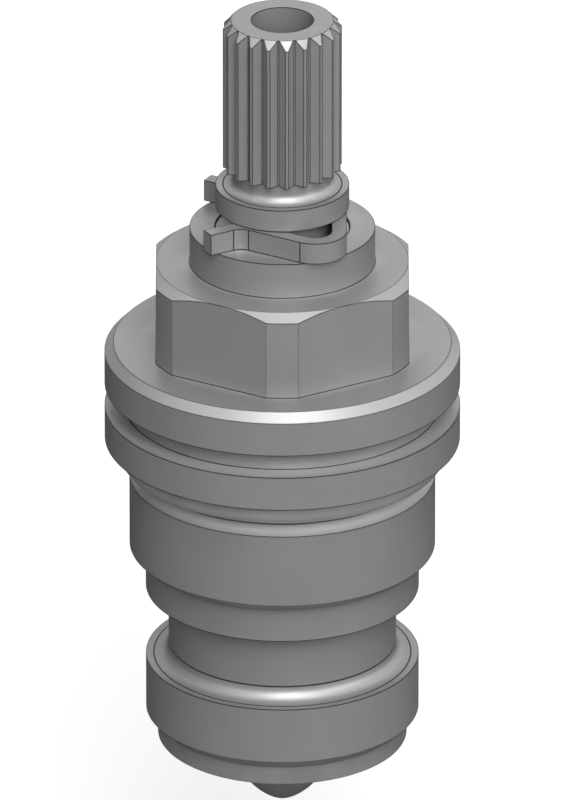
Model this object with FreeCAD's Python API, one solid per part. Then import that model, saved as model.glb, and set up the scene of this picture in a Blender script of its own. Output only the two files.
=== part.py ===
"""Stem unit (headwork) of a half inch compression tap, shown shut.

A splined spindle turns in a screwed-in body and does not rise. Its coarse left-hand drive draws a
piston, which can't turn, straight up inside the body, and lifts a rubber washer off the tap's seat.
All sizes are millimetres. The origin is on the axis, in the plane of the flange's sealing face,
with +Z towards the splined head and +X away from the open side of the clip.
"""
import FreeCAD, Part
import math
import os

Vector = FreeCAD.Vector
AXIS = Vector(0, 0, 1)
ORIGIN = Vector(0, 0, 0)

# Clearances
running_clearance = 0.05
seal_clearance = 0.02
oring_side_gap = 0.1
clip_play = 0.05
clip_neck_clearance = 0.02
thrust_ring_play = 0.05
thrust_ring_bore_clearance = 0.1
assembly_clearance = 0.2
washer_clearance = 0.05
stud_clearance = 0.02

# Travel of the piston, and the gaps that are left when the tap is fully open
piston_travel = 4.5
ring_gap_open = 0.6
piston_top_gap_open = 0.4
piston_shoulder_gap_open = 0.3
drive_end_gap_open = 0.5

# Body, from the sealing face upwards
flange_diameter = 24.0
flange_chamfer = 0.6
lower_disc_height = 2.4
flange_groove_width = 1.6
flange_groove_depth = 1.35
upper_disc_height = 3.0
hex_across_flats = 17.0
hex_corner_rise = 0.75
hex_height = 6.0
hex_chamfer_drop = 0.5
boss_diameter = 12.5
boss_height = 2.5

# Body, from the sealing face downwards
thread_diameter = 20.68
thread_length = 6.15
thread_lead_in = 0.55
thread_end_chamfer = 0.45
undercut_depth = 0.84
undercut_height = 2.2
pilot_step = 1.09
pilot_length = 2.7
bore_lead_in = 0.4

# Head of the spindle
spline_diameter = 8.0
spline_depth = 0.55
spline_teeth = 20
spline_land = 0.22
spline_root_flat = 0.12
spline_length = 10.65
spline_turn = 4.5
screw_hole_diameter = 4.2
screw_hole_depth = 12.0
drill_point_angle = 118.0
run_out_width = 1.35
run_out_relief = 0.125
collar_height = 1.55

# Stem, flange and drive of the spindle
stem_diameter = 9.0
neck_depth = 1.2
neck_overrun = 0.1
stem_groove_depth = 1.2
stem_groove_width = 1.9
stem_land_above = 1.15
stem_land_between = 0.5
stem_land_below = 0.4
thrust_ring_height = 0.8
spindle_flange_step = 2.15
spindle_flange_height = 1.75
spindle_flange_chamfer = 0.3
drive_chamfer = 0.8

# Retaining clip, a bent strip that is the same front and back
clip_thickness = 1.0
clip_height = 1.5
clip_slack = 0.35
clip_slope = 30.0
clip_corner_radius = 1.6
clip_bend_radius = 1.5
clip_mouth_offset = 2.77
clip_tab_length = 1.75

# Piston
piston_flat_depth = 0.91
piston_guide_engagement = 2.5
piston_top_chamfer = 0.4
piston_land_above_groove = 1.2
piston_groove_depth = 1.46
piston_groove_width = 2.3
piston_wall = 1.0
piston_floor = 1.5
piston_ring_step = 1.54
piston_ring_height = 4.55
piston_ring_chamfer = 0.6
piston_lip = 0.75
piston_fillet = 1.0

# O-rings: section of the one under the flange, and how far the corners of all are cut back
flange_oring_section = 1.6
oring_corner_share = 0.29

# Seat washer and the stud that holds it
washer_height = 3.0
washer_recess = 1.55
stud_shank_diameter = 4.0
stud_engagement = 4.0
stud_hole_end_gap = 0.3
nose_diameter = 7.0
nose_length = 5.0
nose_side_pull = 3.7
nose_tip_pull = 0.5

# Radii of the spindle's head
spline_radius = spline_diameter / 2
spline_root_radius = spline_radius - spline_depth
run_out_radius = spline_depth + run_out_relief

# Radii of the stem, and outwards from it: the spindle's flange goes up through the body's guide
stem_radius = stem_diameter / 2
neck_radius = stem_radius - neck_depth
stem_groove_radius = stem_radius - stem_groove_depth
stem_bore_radius = stem_radius + running_clearance
spindle_flange_radius = stem_radius + spindle_flange_step
guide_flat_radius = spindle_flange_radius + assembly_clearance
piston_flat_radius = guide_flat_radius - running_clearance
piston_radius = piston_flat_radius + piston_flat_depth
piston_bore_radius = piston_radius + running_clearance

# Radii of the drive, the ring and the washer, from the piston
piston_groove_radius = piston_radius - piston_groove_depth
drive_bore_radius = piston_groove_radius - piston_wall
drive_radius = drive_bore_radius - running_clearance
piston_ring_radius = piston_radius + piston_ring_step
washer_recess_radius = piston_ring_radius - piston_lip
washer_radius = washer_recess_radius - washer_clearance
shank_radius = stud_shank_diameter / 2
nose_radius = nose_diameter / 2

# Radii of the body's outside
flange_radius = flange_diameter / 2
thread_radius = thread_diameter / 2
undercut_radius = thread_radius - undercut_depth
pilot_radius = thread_radius - pilot_step

# Heights of the body
lower_disc_top = lower_disc_height
upper_disc_bottom = lower_disc_top + flange_groove_width
upper_disc_top = upper_disc_bottom + upper_disc_height
hex_top = upper_disc_top + hex_height
boss_top = hex_top + boss_height
undercut_bottom = -undercut_height
thread_bottom = undercut_bottom - thread_length
pilot_bottom = thread_bottom - pilot_length

# Heights of the spindle, upwards from the top of the boss
neck_bottom = boss_top - neck_overrun
clip_bottom = boss_top + clip_play
collar_bottom = clip_bottom + clip_height + clip_play
collar_top = collar_bottom + collar_height
spline_bottom = collar_top + run_out_width
spindle_top = spline_bottom + spline_length

# Heights of the spindle, downwards from the top of the boss
upper_groove_top = boss_top - stem_land_above
lower_groove_top = upper_groove_top - stem_groove_width - stem_land_between
shoulder = lower_groove_top - stem_groove_width - stem_land_below
thrust_ring_bottom = shoulder - thrust_ring_height
spindle_flange_top = thrust_ring_bottom - thrust_ring_play
spindle_flange_bottom = spindle_flange_top - spindle_flange_height

# Heights of the piston when shut, downwards from the flange of the spindle
piston_top = spindle_flange_bottom - piston_top_gap_open - piston_travel
guide_bottom = piston_top - piston_guide_engagement
piston_shoulder = guide_bottom - piston_travel - piston_shoulder_gap_open
piston_groove_top = piston_shoulder - piston_land_above_groove

# Heights of the piston and washer when shut, downwards from the pilot
piston_ring_top = pilot_bottom - ring_gap_open - piston_travel
piston_bottom = piston_ring_top - piston_ring_height
washer_top = piston_bottom + washer_recess
washer_bottom = washer_top - washer_height
nose_tip = washer_bottom - nose_length
stud_top = washer_top + stud_engagement
stud_hole_top = stud_top + stud_hole_end_gap
drive_bore_bottom = stud_hole_top + piston_floor
drive_bottom = drive_bore_bottom + drive_end_gap_open + piston_travel


def point(radius, height):
    """A point of a profile, in the half plane through the axis."""
    return Vector(radius, 0, height)


def chain(points):
    """Straight edges from each point to the next."""
    return [Part.makeLine(a, b) for a, b in zip(points, points[1:])]


def arc(start, middle, end):
    """A circular edge through three points."""
    return Part.Arc(start, middle, end).toShape()


def face_inside(edges):
    """The flat face inside a closed chain of edges."""
    return Part.Face(Part.Wire(edges))


def turned(edges):
    """The solid that a profile makes when it turns about the axis."""
    return face_inside(edges).revolve(ORIGIN, AXIS, 360)


def turned_outline(points):
    """The solid that a straight-sided profile makes when it turns about the axis."""
    return turned(chain(points + points[:1]))


def prism(plan, height):
    """A straight-sided plan, raised by the height."""
    return face_inside(chain(plan + plan[:1])).extrude(AXIS * height)


def rod(radius, bottom, top):
    """A plain round bar on the axis."""
    return Part.makeCylinder(radius, top - bottom, Vector(0, 0, bottom))


def hexagon(flat_radius, bottom, top):
    """A six-sided bar on the axis, with two flats square to X and two corners on Y."""
    corner_radius = flat_radius / math.cos(math.radians(30))
    angles = [math.radians(30 + 60 * i) for i in range(6)]
    plan = [Vector(corner_radius * math.cos(a), corner_radius * math.sin(a), bottom) for a in angles]
    return prism(plan, top - bottom)


def oring(inner, outer, bottom, top):
    """A soft ring between two radii and two heights, with its corners cut back."""
    corner = oring_corner_share * (outer - inner)
    return turned_outline([
        point(inner, bottom + corner),
        point(inner, top - corner),
        point(inner + corner, top),
        point(outer - corner, top),
        point(outer, top - corner),
        point(outer, bottom + corner),
        point(outer - corner, bottom),
        point(inner + corner, bottom),
    ])


def grooved_oring(groove_radius, bore_radius, groove_top, groove_width):
    """An O-ring pressed between the bottom of its groove and the bore."""
    inner = groove_radius + seal_clearance
    outer = bore_radius - seal_clearance
    bottom = groove_top - groove_width + oring_side_gap
    return oring(inner, outer, bottom, groove_top - oring_side_gap)


def turned_body():
    """The round forms of the body: boss, two flange discs, undercut, thread and pilot."""
    groove_radius = flange_radius - flange_groove_depth
    return turned_outline([
        point(0, boss_top),
        point(boss_diameter / 2, boss_top),
        point(boss_diameter / 2, upper_disc_top),
        point(flange_radius - flange_chamfer, upper_disc_top),
        point(flange_radius, upper_disc_top - flange_chamfer),
        point(flange_radius, upper_disc_bottom),
        point(groove_radius, upper_disc_bottom),
        point(groove_radius, lower_disc_top),
        point(flange_radius, lower_disc_top),
        point(flange_radius, 0),
        point(undercut_radius, 0),
        point(undercut_radius, undercut_bottom),
        point(thread_radius, undercut_bottom - thread_lead_in),
        point(thread_radius, thread_bottom + thread_end_chamfer),
        point(thread_radius - thread_end_chamfer, thread_bottom),
        point(pilot_radius, thread_bottom),
        point(pilot_radius, pilot_bottom),
        point(0, pilot_bottom),
    ])


def wrench_hexagon():
    """The hexagon for the wrench, with its corners turned down and its top chamfered."""
    flat_radius = hex_across_flats / 2
    corner_radius = flat_radius + hex_corner_rise
    turning = turned_outline([
        point(0, upper_disc_top),
        point(corner_radius, upper_disc_top),
        point(corner_radius, hex_top - hex_chamfer_drop),
        point(flat_radius, hex_top),
        point(0, hex_top),
    ])
    return hexagon(flat_radius, upper_disc_top, hex_top).common(turning)


def body_bore():
    """The space inside the body: stem bore, hexagonal guide and round piston bore."""
    stem_bore = rod(stem_bore_radius, shoulder, boss_top)
    guide = hexagon(guide_flat_radius, guide_bottom, shoulder)
    guide = guide.common(rod(piston_bore_radius, guide_bottom, shoulder))
    piston_bore = turned_outline([
        point(0, guide_bottom),
        point(piston_bore_radius, guide_bottom),
        point(piston_bore_radius, pilot_bottom + bore_lead_in),
        point(piston_bore_radius + bore_lead_in, pilot_bottom),
        point(0, pilot_bottom),
    ])
    return stem_bore.fuse([guide, piston_bore])


def headwork_body():
    """The body that screws into the tap."""
    return turned_body().fuse(wrench_hexagon()).removeSplitter().cut(body_bore())


def spindle_head_profile():
    """The head's edge, from the middle of its top down to the neck, with the round run-out."""
    run_out_wall = spline_radius - run_out_radius
    run_out_middle = run_out_radius * (1 - math.sqrt(0.5))
    run_out = arc(
        point(run_out_wall, collar_top + run_out_radius),
        point(run_out_wall + run_out_middle, collar_top + run_out_middle),
        point(spline_radius, collar_top),
    )
    above = chain([
        point(0, spindle_top),
        point(spline_root_radius, spindle_top),
        point(spline_radius, spindle_top - spline_depth),
        point(spline_radius, spline_bottom),
        point(run_out_wall, spline_bottom),
        point(run_out_wall, collar_top + run_out_radius),
    ])
    below = chain([
        point(spline_radius, collar_top),
        point(stem_radius, collar_top),
        point(stem_radius, collar_bottom),
        point(neck_radius, collar_bottom),
        point(neck_radius, neck_bottom),
    ])
    return above + [run_out] + below


def spindle_stem_profile():
    """The stem's edge, from the neck down past two O-ring grooves and the flange to the drive."""
    groove_corners = []
    for groove_top in (upper_groove_top, lower_groove_top):
        groove_bottom = groove_top - stem_groove_width
        groove_corners += [
            point(stem_radius, groove_top),
            point(stem_groove_radius, groove_top),
            point(stem_groove_radius, groove_bottom),
            point(stem_radius, groove_bottom),
        ]
    return chain([
        point(neck_radius, neck_bottom),
        point(stem_radius, neck_bottom),
        *groove_corners,
        point(stem_radius, spindle_flange_top),
        point(spindle_flange_radius - spindle_flange_chamfer, spindle_flange_top),
        point(spindle_flange_radius, spindle_flange_top - spindle_flange_chamfer),
        point(spindle_flange_radius, spindle_flange_bottom),
        point(drive_radius, spindle_flange_bottom),
        point(drive_radius, drive_bottom + drive_chamfer),
        point(drive_radius - drive_chamfer, drive_bottom),
        point(0, drive_bottom),
        point(0, spindle_top),
    ])


def spline_flutes():
    """The spaces between the teeth: V grooves with a narrow flat root, open into the run-out."""
    pitch = 360.0 / spline_teeth
    flute_angle = math.radians(pitch) - spline_land / spline_radius
    rim_half_width = spline_radius * math.sin(flute_angle / 2)
    rim_distance = spline_radius * math.cos(flute_angle / 2)
    root_half_width = spline_root_flat / 2
    flank = (rim_half_width - root_half_width) / (rim_distance - spline_root_radius)
    mouth_half_width = root_half_width + flank * spline_depth
    bottom = collar_top + run_out_radius
    plan = [
        Vector(spline_root_radius, -root_half_width, bottom),
        Vector(spline_radius, -mouth_half_width, bottom),
        Vector(spline_radius, mouth_half_width, bottom),
        Vector(spline_root_radius, root_half_width, bottom),
    ]
    flutes = []
    for i in range(spline_teeth):
        flute = prism(plan, spindle_top - bottom)
        flute.rotate(ORIGIN, AXIS, spline_turn + pitch * (i + 0.5))
        flutes.append(flute)
    return flutes


def screw_hole():
    """The drilled hole for the handle's screw, with its drill point."""
    hole_radius = screw_hole_diameter / 2
    point_height = hole_radius / math.tan(math.radians(drill_point_angle / 2))
    hole_bottom = spindle_top - screw_hole_depth
    return turned_outline([
        point(0, spindle_top),
        point(hole_radius, spindle_top),
        point(hole_radius, hole_bottom),
        point(0, hole_bottom - point_height),
    ])


def spindle():
    """The spindle: splined head, collar, neck, sealed stem, flange and drive."""
    blank = turned(spindle_head_profile() + spindle_stem_profile())
    return blank.cut(spline_flutes() + [screw_hole()])


def rounded_path(corners, radii):
    """A wire through the corners, with an arc of the given radius at each one between the ends."""
    edges = []
    start = corners[0]
    for i, radius in enumerate(radii, 1):
        corner = corners[i]
        back = (corners[i - 1] - corner).normalize()
        onward = (corners[i + 1] - corner).normalize()
        half_angle = back.getAngle(onward) / 2
        setback = radius / math.tan(half_angle)
        bisector = (back + onward).normalize()
        depth = radius / math.sin(half_angle) - radius
        enter = corner + back * setback
        leave = corner + onward * setback
        edges += chain([start, enter]) + [arc(enter, corner + bisector * depth, leave)]
        start = leave
    return Part.Wire(edges + chain([start, corners[-1]]))


def retaining_clip():
    """The spring clip that is pushed on to the neck and keeps the spindle in the body.

    A straight arm lies against the neck, two arms slope in behind it, and two tabs flare out.
    """
    slope = math.radians(clip_slope)
    half_thickness = clip_thickness / 2
    straight_x = neck_radius + clip_neck_clearance + half_thickness
    sloping_reach = neck_radius + clip_slack + half_thickness
    mouth_x = -clip_mouth_offset
    corner_y = (sloping_reach + straight_x * math.sin(slope)) / math.cos(slope)
    mouth_y = (sloping_reach + mouth_x * math.sin(slope)) / math.cos(slope)
    tab_run = clip_tab_length + clip_bend_radius * math.tan(slope)
    tab_x = mouth_x - tab_run * math.cos(slope)
    tab_y = mouth_y + tab_run * math.sin(slope)
    back = [(straight_x, corner_y), (mouth_x, mouth_y), (tab_x, tab_y)]
    front = [(x, -y) for x, y in reversed(back)]
    corners = [Vector(x, y, clip_bottom) for x, y in front + back]
    radii = [clip_bend_radius, clip_corner_radius, clip_corner_radius, clip_bend_radius]
    middle_line = rounded_path(corners, radii)
    along = (corners[1] - corners[0]).normalize()
    across = AXIS.cross(along) * half_thickness
    inner_end, outer_end = corners[0] + across, corners[0] - across
    rise = AXIS * clip_height
    section = Part.Wire(chain([inner_end, outer_end, outer_end + rise, inner_end + rise, inner_end]))
    return middle_line.makePipeShell([section], True, False).removeSplitter()


def thrust_ring():
    """The slip ring between the spindle's flange and the shoulder of the body."""
    hole_radius = stem_radius + thrust_ring_bore_clearance
    ring = rod(spindle_flange_radius, thrust_ring_bottom, shoulder)
    return ring.cut(rod(hole_radius, thrust_ring_bottom, shoulder))


def stem_oring(groove_top):
    """An O-ring in one of the stem's grooves."""
    return grooved_oring(stem_groove_radius, stem_bore_radius, groove_top, stem_groove_width)


def flange_oring():
    """The O-ring under the flange, round the undercut."""
    inner = undercut_radius + seal_clearance
    top = -seal_clearance
    return oring(inner, inner + flange_oring_section, top - flange_oring_section, top)


def piston_neck_and_ring():
    """The round part of the piston: sealed neck, filleted into the ring that holds the washer."""
    groove_bottom = piston_groove_top - piston_groove_width
    fillet_middle = piston_fillet * (1 - math.sqrt(0.5))
    fillet = arc(
        point(piston_radius, piston_ring_top + piston_fillet),
        point(piston_radius + fillet_middle, piston_ring_top + fillet_middle),
        point(piston_radius + piston_fillet, piston_ring_top),
    )
    neck = chain([
        point(0, piston_shoulder),
        point(piston_radius, piston_shoulder),
        point(piston_radius, piston_groove_top),
        point(piston_groove_radius, piston_groove_top),
        point(piston_groove_radius, groove_bottom),
        point(piston_radius, groove_bottom),
        point(piston_radius, piston_ring_top + piston_fillet),
    ])
    ring = chain([
        point(piston_radius + piston_fillet, piston_ring_top),
        point(piston_ring_radius, piston_ring_top),
        point(piston_ring_radius, piston_bottom + piston_ring_chamfer),
        point(piston_ring_radius - piston_ring_chamfer, piston_bottom),
        point(washer_recess_radius, piston_bottom),
        point(washer_recess_radius, washer_top),
        point(0, washer_top),
        point(0, piston_shoulder),
    ])
    return turned(neck + [fillet] + ring)


def piston_guide():
    """The hexagonal head of the piston, which slides in the body and keeps it from turning."""
    turning = turned_outline([
        point(0, piston_shoulder),
        point(piston_radius, piston_shoulder),
        point(piston_radius, piston_top - piston_top_chamfer),
        point(piston_radius - piston_top_chamfer, piston_top),
        point(0, piston_top),
    ])
    return hexagon(piston_flat_radius, piston_shoulder, piston_top).common(turning)


def piston():
    """The piston, bored from above for the drive and from below for the stud."""
    drive_bore = rod(drive_bore_radius, drive_bore_bottom, piston_top)
    stud_hole = rod(shank_radius + stud_clearance, washer_top, stud_hole_top)
    blank = piston_neck_and_ring().fuse(piston_guide()).removeSplitter()
    return blank.cut([drive_bore, stud_hole])


def piston_oring():
    """The O-ring that seals the piston in its bore."""
    return grooved_oring(
        piston_groove_radius, piston_bore_radius, piston_groove_top, piston_groove_width
    )


def seat_washer():
    """The rubber washer that closes on the tap's seat."""
    disc = rod(washer_radius, washer_bottom, washer_top)
    return disc.cut(rod(shank_radius + washer_clearance, washer_bottom, washer_top))


def nose_stud():
    """The stud that holds the washer, with a bullet nose that leads the water to the seat."""
    nose = Part.BezierCurve()
    nose.setPoles([
        point(nose_radius, washer_bottom),
        point(nose_radius, washer_bottom - nose_side_pull),
        point(nose_tip_pull, nose_tip),
        point(0, nose_tip),
    ])
    shank = chain([
        point(0, nose_tip),
        point(0, stud_top),
        point(shank_radius, stud_top),
        point(shank_radius, washer_bottom),
        point(nose_radius, washer_bottom),
    ])
    return turned(shank + [nose.toShape()])


nodes = {
    "headwork_body": headwork_body(),
    "flange_oring": flange_oring(),
    "thrust_ring": thrust_ring(),
    "spindle": spindle(),
    "retaining_clip": retaining_clip(),
    "upper_stem_oring": stem_oring(upper_groove_top),
    "lower_stem_oring": stem_oring(lower_groove_top),
    "piston": piston(),
    "piston_oring": piston_oring(),
    "seat_washer": seat_washer(),
    "nose_stud": nose_stud(),
}

os.makedirs("parts", exist_ok=True)
for name, shape in nodes.items():
    print(name, len(shape.Solids), "solid", round(shape.Volume, 2), "mm3, valid:", shape.isValid())
    shape.exportStep("parts/" + name + ".step")
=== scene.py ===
"""Looks of a half inch compression headwork, the stem unit of a tap, dressed round its frame.

The metal pieces keep the frame's own shapes and get turned, satin nickel finishes. The elastic
pieces, four O-rings and the seat washer, are modelled here and stand for their plain solids.
Lengths are metres, as in the frame, and a name that ends in _mm is in millimetres.
"""
from __future__ import annotations

import logging
import math
from collections.abc import Mapping
from dataclasses import dataclass
from enum import Enum
from typing import ClassVar

import bmesh
import bpy
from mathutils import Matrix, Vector

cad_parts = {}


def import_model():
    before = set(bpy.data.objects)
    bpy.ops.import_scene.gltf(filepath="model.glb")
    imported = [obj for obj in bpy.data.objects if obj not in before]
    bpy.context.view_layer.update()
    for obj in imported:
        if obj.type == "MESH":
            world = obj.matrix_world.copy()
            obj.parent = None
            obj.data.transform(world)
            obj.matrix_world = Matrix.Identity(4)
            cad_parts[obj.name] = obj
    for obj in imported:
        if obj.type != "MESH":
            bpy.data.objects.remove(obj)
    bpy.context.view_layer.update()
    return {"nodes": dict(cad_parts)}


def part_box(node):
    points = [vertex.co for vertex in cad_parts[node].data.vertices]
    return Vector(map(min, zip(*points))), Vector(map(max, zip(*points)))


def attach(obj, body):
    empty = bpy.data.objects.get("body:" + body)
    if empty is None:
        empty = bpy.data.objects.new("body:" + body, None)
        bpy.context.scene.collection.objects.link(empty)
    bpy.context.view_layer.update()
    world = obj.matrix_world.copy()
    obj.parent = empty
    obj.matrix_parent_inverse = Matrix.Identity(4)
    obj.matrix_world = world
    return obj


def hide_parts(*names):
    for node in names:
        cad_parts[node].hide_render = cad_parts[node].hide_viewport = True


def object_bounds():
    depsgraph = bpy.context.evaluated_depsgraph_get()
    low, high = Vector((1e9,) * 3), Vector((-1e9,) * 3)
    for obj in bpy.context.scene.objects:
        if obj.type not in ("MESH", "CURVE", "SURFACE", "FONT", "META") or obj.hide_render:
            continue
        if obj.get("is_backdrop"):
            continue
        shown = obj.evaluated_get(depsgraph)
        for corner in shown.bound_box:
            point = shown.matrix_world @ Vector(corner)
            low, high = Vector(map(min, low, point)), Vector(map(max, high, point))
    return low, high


LOG = logging.getLogger("headwork")
MM = 0.001
WHITE = (1.0, 1.0, 1.0, 1.0)

Socket = bpy.types.NodeSocket
Colour = tuple[float, float, float, float]


class Body(Enum):
    """The bodies of the frame that pieces ride on."""

    TAP_BODY = "tap_body"
    SPINDLE = "turning_spindle"
    PISTON = "sliding_piston"


class Slot(Enum):
    """The record's material slots for the pieces that are modelled here."""

    NITRILE = "nitrile_rubber"
    WASHER = "washer_rubber"


class Detail(Enum):
    """How many finer layers a random pattern holds."""

    EVEN = 2.0
    CLOUDY = 3.0


def linear(hex_colour: str) -> Colour:
    """Turn an sRGB hex colour into linear light, by that standard's own curve.

    Args:
        hex_colour: Six hexadecimal digits.

    Returns:
        Red, green, blue and a full alpha.
    """
    channels = [int(hex_colour[i:i + 2], 16) / 255 for i in (0, 2, 4)]
    light = [c / 12.92 if c <= 0.04045 else ((c + 0.055) / 1.055) ** 2.4 for c in channels]
    return (*light, 1.0)


def add_node(
    tree: bpy.types.NodeTree,
    kind: str,
    inputs: Mapping[str | int, object] | None = None,
    **settings: object,
) -> bpy.types.Node:
    """Add one node with its settings, and give its inputs their values or links.

    Args:
        tree: The node tree that gets the node.
        kind: The node's type.
        inputs: For an input's name or number, its value or the output that feeds it.
        settings: Settings of the node itself, such as its operation.

    Returns:
        The new node.
    """
    node = tree.nodes.new(kind)
    for name, setting in settings.items():
        setattr(node, name, setting)
    for socket, value in (inputs or {}).items():
        if isinstance(value, Socket):
            tree.links.new(value, node.inputs[socket])
        else:
            node.inputs[socket].default_value = value
    return node


@dataclass(frozen=True)
class Marks:
    """A random pattern on a surface, as the height of a relief and as a share from 0 to 1."""

    height: Socket
    share: Socket


class Surface:
    """A new material with its shader, and the patterns that the finishes share."""

    # Most of a random pattern lies between these two values.
    usual_heights: ClassVar[tuple[float, float]] = (0.3, 0.7)
    # How far the rounded surface agrees with the real one, on open faces and on sharp edges.
    edge_agreement: ClassVar[tuple[float, float]] = (0.998, 0.97)
    # The open share of a point's surroundings, where shelter starts and where it is full.
    shelter_openness: ClassVar[tuple[float, float]] = (0.62, 0.34)
    # How far up a groove's walls and its floor face, and the share of shelter that walls show.
    shelter_upward: ClassVar[tuple[float, float]] = (0.1, 0.5)
    wall_share: ClassVar[float] = 0.3
    # How far up a chamfer faces, and how far off that its mask starts to fade and is gone.
    chamfer_upward: ClassVar[float] = 0.65
    chamfer_fade: ClassVar[tuple[float, float]] = (0.15, 0.32)
    # Rays that feel round each point for its edges and its shelter.
    feelers: ClassVar[int] = 8

    def __init__(self, name: str, shader_values: Mapping[str | int, object]) -> None:
        """Start the material.

        Args:
            name: The material's name.
            shader_values: Constant values for the shader's own sockets.
        """
        self.material = bpy.data.materials.new(name)
        self.material.use_nodes = True
        self.tree = self.material.node_tree
        self.tree.nodes.clear()
        self.shader = add_node(self.tree, "ShaderNodeBsdfPrincipled", shader_values)
        add_node(self.tree, "ShaderNodeOutputMaterial", {"Surface": self.shader.outputs[0]})
        self.own = add_node(self.tree, "ShaderNodeTexCoord").outputs
        self.place = self.own["Object"]

    def upward(self) -> Socket:
        """How far the surface faces up, from -1 for straight down to 1 for straight up."""
        return add_node(self.tree, "ShaderNodeSeparateXYZ", {0: self.own["Normal"]}).outputs["Z"]

    def marks(self, size_mm: float, detail: Detail, place: Socket | None = None) -> Marks:
        """Soft random marks.

        Args:
            size_mm: Width of one mark.
            detail: How many finer layers the marks hold.
            place: Where the pattern is read, or nothing for the object's own place.

        Returns:
            The marks.
        """
        pattern = {"Vector": place or self.place, "Scale": 1 / (size_mm * MM), "Detail": detail.value}
        height = add_node(self.tree, "ShaderNodeTexNoise", pattern).outputs[0]
        low, high = self.usual_heights
        spread = {"Value": height, "From Min": low, "From Max": high}
        return Marks(height, add_node(self.tree, "ShaderNodeMapRange", spread).outputs[0])

    def rings(self, spacing_mm: float, drift: float) -> Marks:
        """Tool marks that run round the axis, on faces and on cylinders alike.

        Args:
            spacing_mm: Distance from one mark to the next.
            drift: How fast a mark changes along its way round, as a share of that across it.

        Returns:
            The marks.
        """
        parts = add_node(self.tree, "ShaderNodeSeparateXYZ", {0: self.place}).outputs
        slow = add_node(self.tree, "ShaderNodeMath", {0: parts["X"], 1: drift}, operation="MULTIPLY")
        lift = add_node(self.tree, "ShaderNodeCombineXYZ", {"Z": slow.outputs[0]}).outputs[0]
        turned = {0: self.section(), 1: lift}
        place = add_node(self.tree, "ShaderNodeVectorMath", turned, operation="ADD").outputs[0]
        return self.marks(spacing_mm, Detail.EVEN, place)

    def strands(self, spacing_mm: float, drift: float) -> Marks:
        """Rolling marks that run level along a strip.

        Args:
            spacing_mm: Distance from one mark to the next.
            drift: How fast a mark changes along its length, as a share of that across it.

        Returns:
            The marks.
        """
        stretch = {0: self.place, 1: (drift, drift, 1.0)}
        place = add_node(self.tree, "ShaderNodeVectorMath", stretch, operation="MULTIPLY")
        return self.marks(spacing_mm, Detail.EVEN, place.outputs[0])

    def edges(self, width_mm: float) -> Socket:
        """Where the surface turns a sharp edge or corner.

        Args:
            width_mm: How far from the edge the mask reaches.

        Returns:
            The socket that gives 0 away from edges and 1 on them.
        """
        # The finishes paint a dark line where this mask shows, which in creases is painted shade.
        reach = {"Radius": width_mm * MM}
        rounded = add_node(self.tree, "ShaderNodeBevel", reach, samples=self.feelers).outputs[0]
        plain = add_node(self.tree, "ShaderNodeNewGeometry").outputs["Normal"]
        both = {0: rounded, 1: plain}
        agreement = add_node(self.tree, "ShaderNodeVectorMath", both, operation="DOT_PRODUCT")
        flat, sharp = self.edge_agreement
        limits = {"Value": agreement.outputs["Value"], "From Min": flat, "From Max": sharp}
        return add_node(self.tree, "ShaderNodeMapRange", limits).outputs[0]

    def sheltered(self, reach_mm: float) -> Socket:
        """Where other faces stand close in front of the surface, as in a groove.

        Args:
            reach_mm: How near the other faces are.

        Returns:
            The socket that gives 0 on open faces, 1 on a groove's floor and less on its walls.
        """
        # The nickel finish paints light where this mask shows, over the shade that falls in grooves,
        # more on their floors than on their walls.
        reach = {"Distance": reach_mm * MM}
        around = add_node(self.tree, "ShaderNodeAmbientOcclusion", reach, samples=self.feelers)
        start, full = self.shelter_openness
        limits = {"Value": around.outputs["AO"], "From Min": start, "From Max": full}
        closed = add_node(self.tree, "ShaderNodeMapRange", limits).outputs[0]
        wall, floor = self.shelter_upward
        facing = self.upward()
        level = {"Value": facing, "From Min": wall, "From Max": floor, "To Min": self.wall_share}
        weight = add_node(self.tree, "ShaderNodeMapRange", level).outputs[0]
        both = {0: closed, 1: weight}
        return add_node(self.tree, "ShaderNodeMath", both, operation="MULTIPLY").outputs[0]

    def slopes(self) -> Socket:
        """Where the surface faces up at a slope, as a chamfer or a run-out does.

        Returns:
            The socket that gives 0 on level and upright faces and 1 on slopes near 45 degrees.
        """
        # The nickel finish paints a highlight where this mask shows.
        apart = {0: self.upward(), 1: self.chamfer_upward}
        offset = add_node(self.tree, "ShaderNodeMath", apart, operation="SUBTRACT").outputs[0]
        away = add_node(self.tree, "ShaderNodeMath", {0: offset}, operation="ABSOLUTE").outputs[0]
        near, far = self.chamfer_fade
        limits = {"Value": away, "From Min": near, "From Max": far, "To Min": 1.0, "To Max": 0.0}
        return add_node(self.tree, "ShaderNodeMapRange", limits).outputs[0]

    def section(self) -> Socket:
        """The flat map of the turned section.

        Returns:
            The socket that gives a point's radius and height as X and Y.
        """
        level = {0: self.place, 1: (1.0, 1.0, 0.0)}
        plan = add_node(self.tree, "ShaderNodeVectorMath", level, operation="MULTIPLY").outputs[0]
        radius = add_node(self.tree, "ShaderNodeVectorMath", {0: plan}, operation="LENGTH")
        height = add_node(self.tree, "ShaderNodeSeparateXYZ", {0: self.place}).outputs["Z"]
        pair = {"X": radius.outputs["Value"], "Y": height}
        return add_node(self.tree, "ShaderNodeCombineXYZ", pair).outputs[0]

    def half_plan(self) -> Socket:
        """The flat map of the plan, folded along the X axis.

        Returns:
            The socket that gives a point's X, and its Y without sign.
        """
        parts = add_node(self.tree, "ShaderNodeSeparateXYZ", {0: self.place}).outputs
        side = add_node(self.tree, "ShaderNodeMath", {0: parts["Y"]}, operation="ABSOLUTE").outputs[0]
        return add_node(self.tree, "ShaderNodeCombineXYZ", {"X": parts["X"], "Y": side}).outputs[0]

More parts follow.
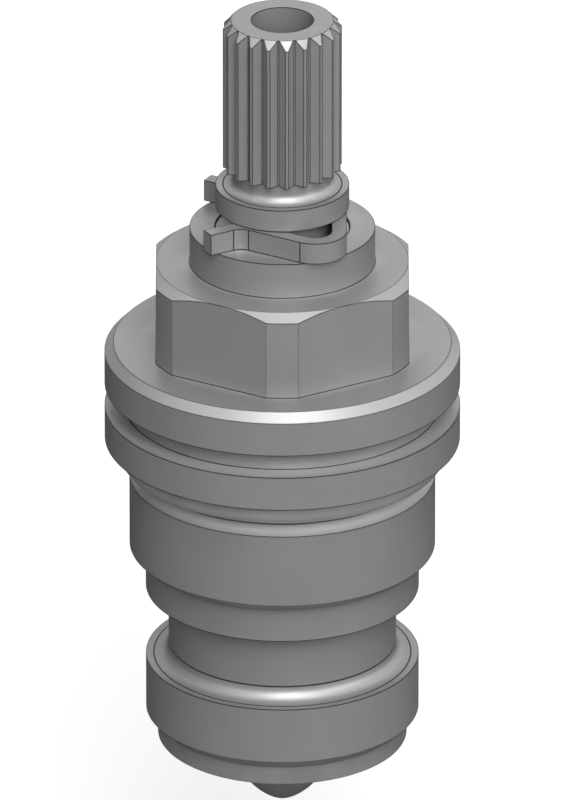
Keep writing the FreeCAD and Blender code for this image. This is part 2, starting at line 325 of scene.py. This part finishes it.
    def near_points(
        self, flat_map: Socket, points_mm: tuple[tuple[float, float], ...], reach_mm: float
    ) -> Socket:
        """Where the surface passes close to some points of a flat map.

        Args:
            flat_map: The map, from section or half_plan.
            points_mm: The points on it.
            reach_mm: How close it passes.

        Returns:
            The socket that gives 0 out of reach of the points and 1 within half the reach.
        """
        reach = reach_mm * MM
        nearest: Socket | float = 0.0
        for across, along in points_mm:
            pair = {0: flat_map, 1: (across * MM, along * MM, 0.0)}
            gap = add_node(self.tree, "ShaderNodeVectorMath", pair, operation="DISTANCE")
            limits = {"Value": gap.outputs["Value"], "From Min": reach, "From Max": reach / 2}
            near = add_node(self.tree, "ShaderNodeMapRange", limits).outputs[0]
            both = {0: near, 1: nearest}
            nearest = add_node(self.tree, "ShaderNodeMath", both, operation="MAXIMUM").outputs[0]
        return nearest

    def paint(self, ground: Socket | Colour, *coats: tuple[Socket, Socket | Colour]) -> Socket:
        """Lay coats of colour over a ground, each as far as its own mask shows it.

        Args:
            ground: The colour below.
            coats: For each coat, its mask and its colour.

        Returns:
            The socket that gives the painted colour.
        """
        for mask, colour in coats:
            # Inputs 6 and 7 are the node's two colours, and output 2 is their mixture.
            layers = {0: mask, 6: ground, 7: colour}
            ground = add_node(self.tree, "ShaderNodeMix", layers, data_type="RGBA").outputs[2]
        return ground

    def feed(self, sockets: Mapping[str, Socket]) -> bpy.types.Material:
        """Link outputs to the shader's inputs.

        Args:
            sockets: For an input's name, the output that feeds it.

        Returns:
            The finished material.
        """
        for name, output in sockets.items():
            self.tree.links.new(output, self.shader.inputs[name])
        return self.material


@dataclass(frozen=True)
class Finish:
    """What every finish has: its roughness, how uneven that is, and how deep its marks are."""

    name: str
    roughness: float
    unevenness: float
    relief_mm: float

    def complete(
        self, surface: Surface, colour: Socket, sheen: Marks, relief: Marks
    ) -> bpy.types.Material:
        """Give the shader its colour, its uneven roughness and its relief.

        Args:
            surface: The material in the making.
            colour: The painted colour.
            sheen: The marks by which the roughness differs.
            relief: The marks that stand out of the surface.

        Returns:
            The finished material.
        """
        smooth, rough = self.roughness - self.unevenness, self.roughness + self.unevenness
        spread = {"Value": sheen.share, "To Min": smooth, "To Max": rough}
        uneven = add_node(surface.tree, "ShaderNodeMapRange", spread).outputs[0]
        raised = {"Height": relief.height, "Distance": self.relief_mm * MM, "Strength": 1.0}
        bumps = add_node(surface.tree, "ShaderNodeBump", raised).outputs[0]
        return surface.feed({"Base Color": colour, "Roughness": uneven, "Normal": bumps})


@dataclass(frozen=True)
class TurnedNickel(Finish):
    """Satin nickel plate on turned brass: an even grey with soft, wide highlights.

    The plate's fine grain and its film of oxide scatter half of the light, so it is part metal
    and part pale film. It softens the lathe's marks to fine rings. Slopes that face up, such as
    chamfers and run-outs, get a painted highlight, and the floors and walls of grooves get
    painted light over the shade that falls there. A thin dark line is painted along each sharp
    edge, convex and concave, and in the creases it is painted shade. The same line marks where
    a form tool's rounding ends.
    """

    plate: str = "8E8E8E"
    cloudy_plate: str = "898989"
    # A painted highlight on slopes that face up.
    painted_highlight: str = "9E9E9E"
    # Painted light in grooves and hollows, over the shade that falls there, on level faces and on
    # up-facing slopes.
    painted_light_in_hollows: str = "BEBEBE"
    painted_highlight_in_hollows: str = "F0F0F0"
    # A thin dark line painted along sharp edges, which in the creases is painted shade.
    painted_edge_line: str = "303030"
    metallic: float = 0.5
    roughness: float = 0.42
    unevenness: float = 0.03
    relief_mm: float = 0.0012
    # The real feed and grain are finer. They are drawn as coarse as they need to show.
    feed_mm: float = 0.16
    feed_drift: float = 0.02
    grain_mm: float = 0.35
    cloud_mm: float = 5.0
    # How near other faces stand where the painted light in hollows begins.
    painted_light_reach_mm: float = 3.0
    # How wide the painted dark line along edges is.
    painted_edge_line_mm: float = 0.12
    # Radius and height of the circles where the piston's fillet and the spline's run-out end.
    form_lines_mm: tuple[tuple[float, float], ...] = ((8.71, -16.15), (7.71, -15.15), (4.0, 18.65))
    form_line_mm: float = 0.07

    def material(self) -> bpy.types.Material:
        """Make the material.

        Returns:
            The finished material.
        """
        tint = {"Metallic": self.metallic, "Specular Tint": linear(self.plate)}
        surface = Surface(self.name, tint)
        rings = surface.rings(self.feed_mm, self.feed_drift)
        clouds = surface.marks(self.cloud_mm, Detail.CLOUDY)
        grain = surface.marks(self.grain_mm, Detail.EVEN)
        slopes = surface.slopes()
        form_lines = surface.near_points(surface.section(), self.form_lines_mm, self.form_line_mm)
        cloudy = surface.paint(linear(self.plate), (clouds.share, linear(self.cloudy_plate)))
        # The plate, with a painted highlight on slopes that face up.
        plate_with_painted_highlight = surface.paint(cloudy, (slopes, linear(self.painted_highlight)))
        # Painted light for grooves and hollows, with a painted highlight on their slopes.
        painted_light_in_hollows = surface.paint(linear(self.painted_light_in_hollows), (slopes, linear(self.painted_highlight_in_hollows)))
        colour = surface.paint(
            plate_with_painted_highlight,
            # Painted light over the shade in grooves and hollows.
            (surface.sheltered(self.painted_light_reach_mm), painted_light_in_hollows),
            (form_lines, linear(self.painted_edge_line)),
            # A painted dark line along sharp edges, which in the creases is painted shade.
            (surface.edges(self.painted_edge_line_mm), linear(self.painted_edge_line)),
        )
        return self.complete(surface, colour, sheen=grain, relief=rings)


@dataclass(frozen=True)
class RolledSpringSteel(Finish):
    """Spring steel strip, rolled, bent and passivated: a dull grey with marks along the strip.

    A fine line across the strip marks where each bend starts and ends.
    """

    steel: str = "8E8E8E"
    dull_steel: str = "8A8A8A"
    # A thin dark line painted along sharp edges, which in the creases is painted shade.
    painted_edge_line: str = "303030"
    metallic: float = 0.5
    roughness: float = 0.42
    unevenness: float = 0.04
    relief_mm: float = 0.0001
    # Real rolling marks are finer. They are drawn as coarse as they need to show.
    strand_mm: float = 0.09
    strand_drift: float = 0.05
    painted_edge_line_mm: float = 0.12
    # X of the lines and how far from the middle they lie, on both legs of the clip.
    bend_lines_mm: tuple[tuple[float, float], ...] = (
        (-3.27, 4.06), (-2.27, 4.06), (1.17, 6.05), (4.32, 4.23)
    )
    bend_line_mm: float = 0.06

    def material(self) -> bpy.types.Material:
        """Make the material.

        Returns:
            The finished material.
        """
        tint = {"Metallic": self.metallic, "Specular Tint": linear(self.steel)}
        surface = Surface(self.name, tint)
        strands = surface.strands(self.strand_mm, self.strand_drift)
        bend_lines = surface.near_points(surface.half_plan(), self.bend_lines_mm, self.bend_line_mm)
        colour = surface.paint(
            linear(self.steel),
            (strands.share, linear(self.dull_steel)),
            (bend_lines, linear(self.painted_edge_line)),
            # A painted dark line along sharp edges, which in the creases is painted shade.
            (surface.edges(self.painted_edge_line_mm), linear(self.painted_edge_line)),
        )
        return self.complete(surface, colour, sheen=strands, relief=strands)


@dataclass(frozen=True)
class MouldedRubber(Finish):
    """Compression moulded rubber: matt, with the fine grain of the mould and a faint bloom."""

    rubber: str = "6C6C6C"
    bloom: str = "747474"
    # A thin dark line painted along sharp edges, which in the creases is painted shade.
    painted_edge_line: str = "444444"
    ior: float = 1.52
    roughness: float = 0.48
    unevenness: float = 0.05
    relief_mm: float = 0.0015
    # The mould's real grain is finer. It is drawn as coarse as it needs to show.
    grain_mm: float = 0.12
    bloom_mm: float = 1.6
    painted_edge_line_mm: float = 0.05

    def material(self) -> bpy.types.Material:
        """Make the material.

        Returns:
            The finished material.
        """
        surface = Surface(self.name, {"IOR": self.ior})
        grain = surface.marks(self.grain_mm, Detail.EVEN)
        bloom = surface.marks(self.bloom_mm, Detail.CLOUDY)
        colour = surface.paint(
            linear(self.rubber),
            (bloom.share, linear(self.bloom)),
            # A painted dark line along sharp edges, which in the creases is painted shade.
            (surface.edges(self.painted_edge_line_mm), linear(self.painted_edge_line)),
        )
        return self.complete(surface, colour, sheen=grain, relief=grain)


@dataclass(frozen=True)
class GreasedRubber(MouldedRubber):
    """O-ring rubber with a thin film of assembly grease, which makes it paler and smoother."""

    rubber: str = "7C7C7C"
    bloom: str = "848484"
    roughness: float = 0.36


@dataclass(frozen=True)
class TurnedAcetal(Finish):
    """White acetal, turned from bar: waxy and smooth, with fine rings from the tool."""

    plastic: str = "E4E2DA"
    shade: str = "DAD8CF"
    ior: float = 1.48
    roughness: float = 0.35
    unevenness: float = 0.04
    relief_mm: float = 0.002
    feed_mm: float = 0.1
    feed_drift: float = 0.03

    def material(self) -> bpy.types.Material:
        """Make the material.

        Returns:
            The finished material.
        """
        surface = Surface(self.name, {"IOR": self.ior})
        rings = surface.rings(self.feed_mm, self.feed_drift)
        colour = surface.paint(linear(self.plastic), (rings.share, linear(self.shade)))
        return self.complete(surface, colour, sheen=rings, relief=rings)


@dataclass(frozen=True)
class Finishes:
    """The finishes of this part, each made once."""

    metal: bpy.types.Material
    spring: bpy.types.Material
    ring_rubber: bpy.types.Material
    washer_rubber: bpy.types.Material
    plastic: bpy.types.Material

    @classmethod
    def made(cls) -> Finishes:
        """Make the materials.

        Returns:
            All of them.
        """
        return cls(
            metal=TurnedNickel("satin_nickel_on_turned_brass").material(),
            spring=RolledSpringSteel("rolled_spring_steel").material(),
            ring_rubber=GreasedRubber("greased_nitrile_rubber").material(),
            washer_rubber=MouldedRubber("moulded_washer_rubber").material(),
            plastic=TurnedAcetal("turned_white_acetal").material(),
        )


def deselect() -> None:
    """Leave nothing selected, so that the next operator acts on its own piece alone."""
    bpy.ops.object.select_all(action="DESELECT")


def dress(piece: bpy.types.Object, material: bpy.types.Material) -> bpy.types.Object:
    """Give a piece one material in all its slots.

    Args:
        piece: The piece.
        material: Its finish.

    Returns:
        The same piece.
    """
    if not piece.data.materials:
        piece.data.materials.append(material)
    for i in range(len(piece.data.materials)):
        piece.data.materials[i] = material
    return piece


@dataclass(frozen=True)
class ElasticPiece:
    """A rubber piece that is modelled here and stands for its plain node of the frame."""

    name: str
    node: str
    body: Body
    slot: Slot
    weld_mm: float = 0.001
    sharp_angle_deg: float = 40.0

    def start(self) -> bpy.types.Object:
        """Open the primitive that was just added in edit mode, with its place in its mesh.

        Returns:
            The primitive.
        """
        piece = bpy.context.active_object
        bpy.ops.object.transform_apply(location=True, rotation=True, scale=True)
        bpy.ops.object.mode_set(mode="EDIT")
        return piece

    def finish(self, piece: bpy.types.Object, material: bpy.types.Material) -> bpy.types.Object:
        """Close and smooth the mesh in edit mode, dress it and put it in its node's place.

        Args:
            piece: The modelled piece.
            material: Its finish.

        Returns:
            The same piece.
        """
        bpy.ops.mesh.select_all(action="SELECT")
        bpy.ops.mesh.remove_doubles(threshold=self.weld_mm * MM)
        bpy.ops.mesh.normals_make_consistent(inside=False)
        bpy.ops.object.mode_set(mode="OBJECT")
        bpy.ops.object.shade_smooth_by_angle(angle=math.radians(self.sharp_angle_deg))
        piece.name = self.name
        piece.data.name = self.name
        dress(piece, material)
        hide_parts(self.node)
        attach(piece, self.body.value)
        return piece


@dataclass(frozen=True)
class RubberRing(ElasticPiece):
    """An O-ring, spun from its section, with the thin ridge that its two mould halves leave.

    A ring in a groove is pressed between the groove and the bore, so its section is an oval.
    """

    width_mm: float = 1.6
    section_points: int = 32
    steps: int = 128
    ridge_width_mm: float = 0.09
    ridge_segments: int = 2
    ridge_sharpness: float = 0.9

    def build(self, material: bpy.types.Material) -> bpy.types.Object:
        """Model the ring in its groove.

        Args:
            material: The ring's finish.

        Returns:
            The ring.
        """
        low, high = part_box(self.node)
        width = self.width_mm * MM
        middle = Vector((high.x - width / 2, 0.0, (low.z + high.z) / 2))
        upright = (math.pi / 2, 0.0, 0.0)
        deselect()
        bpy.ops.mesh.primitive_circle_add(
            vertices=self.section_points, radius=0.5, location=middle, rotation=upright
        )
        piece = self.start()
        bpy.ops.transform.resize(value=(width, 1.0, high.z - low.z), center_override=middle)
        self.leave_ridge(piece)
        bpy.ops.mesh.select_all(action="SELECT")
        bpy.ops.mesh.spin(steps=self.steps, angle=math.tau, center=(0, 0, 0), axis=(0, 0, 1))
        return self.finish(piece, material)

    def leave_ridge(self, piece: bpy.types.Object) -> None:
        """Draw the outermost corner of the section back beside a narrow ridge.

        Args:
            piece: The section, in edit mode.
        """
        mesh = bmesh.from_edit_mesh(piece.data)
        outermost = max(mesh.verts, key=lambda vertex: vertex.co.x)
        for vertex in mesh.verts:
            vertex.select = vertex is outermost
        bmesh.update_edit_mesh(piece.data)
        bpy.ops.mesh.bevel(
            offset=self.ridge_width_mm / 2 * MM,
            affect="VERTICES",
            segments=self.ridge_segments,
            profile=self.ridge_sharpness,
        )


@dataclass(frozen=True)
class SeatWasher(ElasticPiece):
    """The flat rubber washer that closes on the seat, moulded with slightly rounded rims."""

    hole_radius_mm: float = 2.05
    rim_radius_mm: float = 0.12
    inner_rim_radius_mm: float = 0.3
    steps: int = 128
    rim_segments: int = 4

    def build(self, material: bpy.types.Material) -> bpy.types.Object:
        """Model the washer round its stud.

        Args:
            material: The washer's finish.

        Returns:
            The washer.
        """
        low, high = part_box(self.node)
        middle = (0.0, 0.0, (low.z + high.z) / 2)
        deselect()
        bpy.ops.mesh.primitive_cylinder_add(
            vertices=self.steps, radius=high.x, depth=high.z - low.z, location=middle
        )
        piece = self.start()
        self.pierce(piece, high.x - self.hole_radius_mm * MM)
        for height, rounding_mm in ((low.z, self.rim_radius_mm), (high.z, self.inner_rim_radius_mm)):
            self.select_rim(piece, high.x, height)
            bpy.ops.mesh.bevel(offset=rounding_mm * MM, segments=self.rim_segments)
        return self.finish(piece, material)

    def pierce(self, piece: bpy.types.Object, wall: float) -> None:
        """Inset both end faces of the disc and bridge them to a hole.

        Args:
            piece: The disc, in edit mode.
            wall: The distance from the rim to the hole.
        """
        mostly_level = 0.9
        bpy.ops.mesh.select_mode(type="FACE")
        bpy.ops.mesh.select_all(action="DESELECT")
        mesh = bmesh.from_edit_mesh(piece.data)
        for face in mesh.faces:
            face.select = abs(face.normal.z) > mostly_level
        bmesh.update_edit_mesh(piece.data)
        bpy.ops.mesh.inset(thickness=wall)
        bpy.ops.mesh.bridge_edge_loops()

    def select_rim(self, piece: bpy.types.Object, radius: float, height: float) -> None:
        """Select the edges of one round rim.

        Args:
            piece: The washer, in edit mode.
            radius: The rim's radius.
            height: The rim's height.
        """
        near = 0.01 * MM
        bpy.ops.mesh.select_mode(type="EDGE")
        bpy.ops.mesh.select_all(action="DESELECT")
        mesh = bmesh.from_edit_mesh(piece.data)
        for edge in mesh.edges:
            ends = [(v.co.xy.length, v.co.z) for v in edge.verts]
            edge.select = all(abs(r - radius) < near and abs(z - height) < near for r, z in ends)
        bmesh.update_edit_mesh(piece.data)


@dataclass(frozen=True)
class HeadworkBody:
    """The body that screws into the tap, its flange O-ring and the slip ring inside it."""

    flange_ring: RubberRing = RubberRing("flange_ring", "flange_oring", Body.TAP_BODY, Slot.NITRILE)

    def build(
        self, nodes: Mapping[str, bpy.types.Object], finishes: Finishes
    ) -> list[bpy.types.Object]:
        """Dress the nodes and model the O-ring.

        Args:
            nodes: The frame's nodes by name.
            finishes: The materials.

        Returns:
            The shown pieces.
        """
        return [
            dress(nodes["headwork_body"], finishes.metal),
            dress(nodes["thrust_ring"], finishes.plastic),
            self.flange_ring.build(finishes.ring_rubber),
        ]


@dataclass(frozen=True)
class TurningSpindle:
    """The splined spindle with its clip and its two O-rings."""

    ring_width_mm: float = 1.21

    def build(
        self, nodes: Mapping[str, bpy.types.Object], finishes: Finishes
    ) -> list[bpy.types.Object]:
        """Dress the nodes and model the O-rings.

        Args:
            nodes: The frame's nodes by name.
            finishes: The materials.

        Returns:
            The shown pieces.
        """
        rings = [
            RubberRing(name, node, Body.SPINDLE, Slot.NITRILE, width_mm=self.ring_width_mm)
            for name, node in (("upper_ring", "upper_stem_oring"), ("lower_ring", "lower_stem_oring"))
        ]
        return [
            dress(nodes["spindle"], finishes.metal),
            dress(nodes["retaining_clip"], finishes.spring),
            *[ring.build(finishes.ring_rubber) for ring in rings],
        ]


@dataclass(frozen=True)
class SlidingPiston:
    """The piston with its O-ring, and the washer that its stud holds."""

    ring: RubberRing = RubberRing(
        "piston_ring", "piston_oring", Body.PISTON, Slot.NITRILE, width_mm=1.47
    )
    washer: SeatWasher = SeatWasher("rubber_washer", "seat_washer", Body.PISTON, Slot.WASHER)

    def build(
        self, nodes: Mapping[str, bpy.types.Object], finishes: Finishes
    ) -> list[bpy.types.Object]:
        """Dress the nodes and model the O-ring and the washer.

        Args:
            nodes: The frame's nodes by name.
            finishes: The materials.

        Returns:
            The shown pieces.
        """
        return [
            dress(nodes["piston"], finishes.metal),
            dress(nodes["nose_stud"], finishes.metal),
            self.ring.build(finishes.ring_rubber),
            self.washer.build(finishes.washer_rubber),
        ]


@dataclass(frozen=True)
class PhotoCamera:
    """The photograph's view: from the front and about 25 degrees above level.

    The photograph has no perspective, and the longest lens that the other views allow comes
    close to that.
    """

    elevation_deg: float = 24.87
    frame_height_px: int = 800
    scale_px_per_mm: float = 14.82
    aim_mm: tuple[float, float, float] = (0.044, 0.0, 2.61)
    lens_mm: float = 1000.0
    sensor_mm: float = 36.0
    # Nearest and furthest thing seen, as shares of the distance to the part.
    nearest: float = 0.5
    furthest: float = 4.0

    def build(self) -> None:
        """Add the camera and make it the scene's own."""
        seen_height = self.frame_height_px / self.scale_px_per_mm * MM
        distance = seen_height * self.lens_mm / self.sensor_mm
        elevation = math.radians(self.elevation_deg)
        back = Vector((0, -math.cos(elevation), math.sin(elevation)))
        camera = bpy.data.objects.new("camera", bpy.data.cameras.new("camera"))
        bpy.context.scene.collection.objects.link(camera)
        camera.data.lens = self.lens_mm
        camera.data.sensor_width = self.sensor_mm
        camera.data.clip_start = distance * self.nearest
        camera.data.clip_end = distance * self.furthest
        camera.location = Vector(self.aim_mm) * MM + back * distance
        camera.rotation_euler = (-back).to_track_quat("-Z", "Y").to_euler()
        bpy.context.scene.camera = camera


@dataclass(frozen=True)
class SoftLamp:
    """A round softbox that faces the part.

    Its azimuth is 0 in front and 90 to the right. Its brightness is what a mirror would show of
    it, where the white surround is 1. A fill lamp gives light, but the metal doesn't mirror it.
    """

    name: str
    azimuth_deg: float
    elevation_deg: float
    spread_deg: float
    brightness: float
    mirrored: bool = True
    distance_mm: float = 400.0

    def build(self) -> None:
        """Add the lamp."""
        azimuth = math.radians(self.azimuth_deg)
        elevation = math.radians(self.elevation_deg)
        level = math.cos(elevation)
        towards = Vector((level * math.sin(azimuth), -level * math.cos(azimuth), math.sin(elevation)))
        distance = self.distance_mm * MM
        radius = distance * math.tan(math.radians(self.spread_deg / 2))
        lamp = bpy.data.lights.new(self.name, "AREA")
        lamp.shape = "DISK"
        lamp.size = 2 * radius
        # A flat lamp's power is its brightness times its area times pi.
        lamp.energy = self.brightness * math.pi * radius ** 2 * math.pi
        box = bpy.data.objects.new(self.name, lamp)
        box.visible_glossy = self.mirrored
        bpy.context.scene.collection.objects.link(box)
        box.location = towards * distance
        box.rotation_euler = (-towards).to_track_quat("-Z", "Y").to_euler()


@dataclass(frozen=True)
class Studio:
    """A pale floor below the hanging part, soft lamps and a white surround.

    Black cards, which only the part's own reflections show, keep the white floor from washing
    out the metal's sides, as cards beside a product do in a real studio.
    """

    lamps: tuple[SoftLamp, ...] = (
        SoftLamp("high_front", 12.0, 60.0, 36.0, 5.0),
        SoftLamp("low_front", 8.0, 34.0, 30.0, 7.4),
        SoftLamp("front_fill", 8.0, 34.0, 30.0, 5.6, mirrored=False),
        SoftLamp("right", 60.0, 20.0, 40.0, 2.0),
        SoftLamp("high_back", 180.0, 60.0, 50.0, 0.9),
        SoftLamp("back_fill", 180.0, 10.0, 40.0, 9.0, mirrored=False),
        SoftLamp("left", -95.0, 4.0, 40.0, 0.8),
    )
    plain_level: float = 0.25
    matt_roughness: float = 0.9
    floor_colour: str = "B0B0B0"
    floor_size_mm: float = 600.0
    floor_drop_mm: float = 14.0
    # How much the floor is lifted where it is seen itself, so that it looks white.
    floor_lift: float = 0.48
    card_colour: str = "202020"
    low_card_size_mm: float = 1600.0
    low_card_drop_mm: float = 3.0
    left_card_size_mm: float = 160.0
    left_card_place_mm: tuple[float, float, float] = (-90.0, 40.0, 0.0)

    def build(self) -> None:
        """Set up the floor, the cards, the lamps and the world."""
        low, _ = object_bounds()
        self.add_floor(low.z - self.floor_drop_mm * MM)
        under = Vector((0.0, 0.0, low.z - self.low_card_drop_mm * MM))
        self.add_card("low_card", self.low_card_size_mm, under, 0.0)
        beside = Vector(self.left_card_place_mm) * MM
        self.add_card("left_card", self.left_card_size_mm, beside, math.pi / 2)
        for lamp in self.lamps:
            lamp.build()
        self.add_world()
        bpy.context.scene.view_settings.view_transform = "Standard"

    @staticmethod
    def seen_directly(tree: bpy.types.NodeTree) -> Socket:
        """Which rays show a thing itself: those of the camera, and glossy and transmitted ones.

        Args:
            tree: The node tree that asks.

        Returns:
            The socket that gives 1 for such a ray and 0 for any other.
        """
        path = add_node(tree, "ShaderNodeLightPath").outputs
        pair = {0: path["Is Camera Ray"], 1: path["Is Glossy Ray"]}
        two = add_node(tree, "ShaderNodeMath", pair, operation="ADD").outputs[0]
        trio = {0: two, 1: path["Is Transmission Ray"]}
        return add_node(tree, "ShaderNodeMath", trio, operation="ADD", use_clamp=True).outputs[0]

    def add_floor(self, height: float) -> None:
        """Add the pale floor, which shows the part's shadow.

        Args:
            height: The floor's height.
        """
        deselect()
        bpy.ops.mesh.primitive_plane_add(size=self.floor_size_mm * MM, location=(0, 0, height))
        floor = bpy.context.active_object
        floor.name = "floor"
        values = {
            "Base Color": linear(self.floor_colour),
            "Roughness": self.matt_roughness,
            "Specular IOR Level": 0.0,
            "Emission Color": WHITE,
        }
        surface = Surface("matt_white_floor", values)
        lift = {0: self.seen_directly(surface.tree), 1: self.floor_lift}
        glow = add_node(surface.tree, "ShaderNodeMath", lift, operation="MULTIPLY").outputs[0]
        dress(floor, surface.feed({"Emission Strength": glow}))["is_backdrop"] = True

    def add_card(self, name: str, size_mm: float, place: Vector, turn: float) -> None:
        """Add a black card that only reflections show.

        Args:
            name: The card's name.
            size_mm: Length of its sides.
            place: Its middle.
            turn: How far it is turned up about the Y axis, in radians.
        """
        deselect()
        bpy.ops.mesh.primitive_plane_add(size=size_mm * MM, location=place, rotation=(0, turn, 0))
        card = bpy.context.active_object
        card.name = name
        card.visible_camera = False
        card.visible_diffuse = False
        card.visible_shadow = False
        values = {"Base Color": linear(self.card_colour), "Roughness": self.matt_roughness}
        dress(card, Surface("black_card", values).material)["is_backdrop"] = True

    def add_world(self) -> None:
        """Add the surround: white where it is seen, and a plain level for the light it gives."""
        world = bpy.data.worlds.new("white_surround")
        world.use_nodes = True
        tree = world.node_tree
        tree.nodes.clear()
        plain = add_node(tree, "ShaderNodeBackground", {"Color": WHITE, "Strength": self.plain_level})
        white = add_node(tree, "ShaderNodeBackground", {"Color": WHITE, "Strength": 1.0})
        both = {0: self.seen_directly(tree), 1: plain.outputs[0], 2: white.outputs[0]}
        shown = add_node(tree, "ShaderNodeMixShader", both).outputs[0]
        add_node(tree, "ShaderNodeOutputWorld", {"Surface": shown})
        bpy.context.scene.world = world


def main() -> None:
    """Build the dressed part and the studio round it, and report each piece."""
    logging.basicConfig(level=logging.INFO, format="%(message)s")
    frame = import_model()
    finishes = Finishes.made()
    for assembly in (HeadworkBody(), TurningSpindle(), SlidingPiston()):
        for piece in assembly.build(frame["nodes"], finishes):
            LOG.info("%s: %s, %d faces", type(assembly).__name__, piece.name, len(piece.data.polygons))
    PhotoCamera().build()
    Studio().build()


if __name__ == "__main__":
    main()
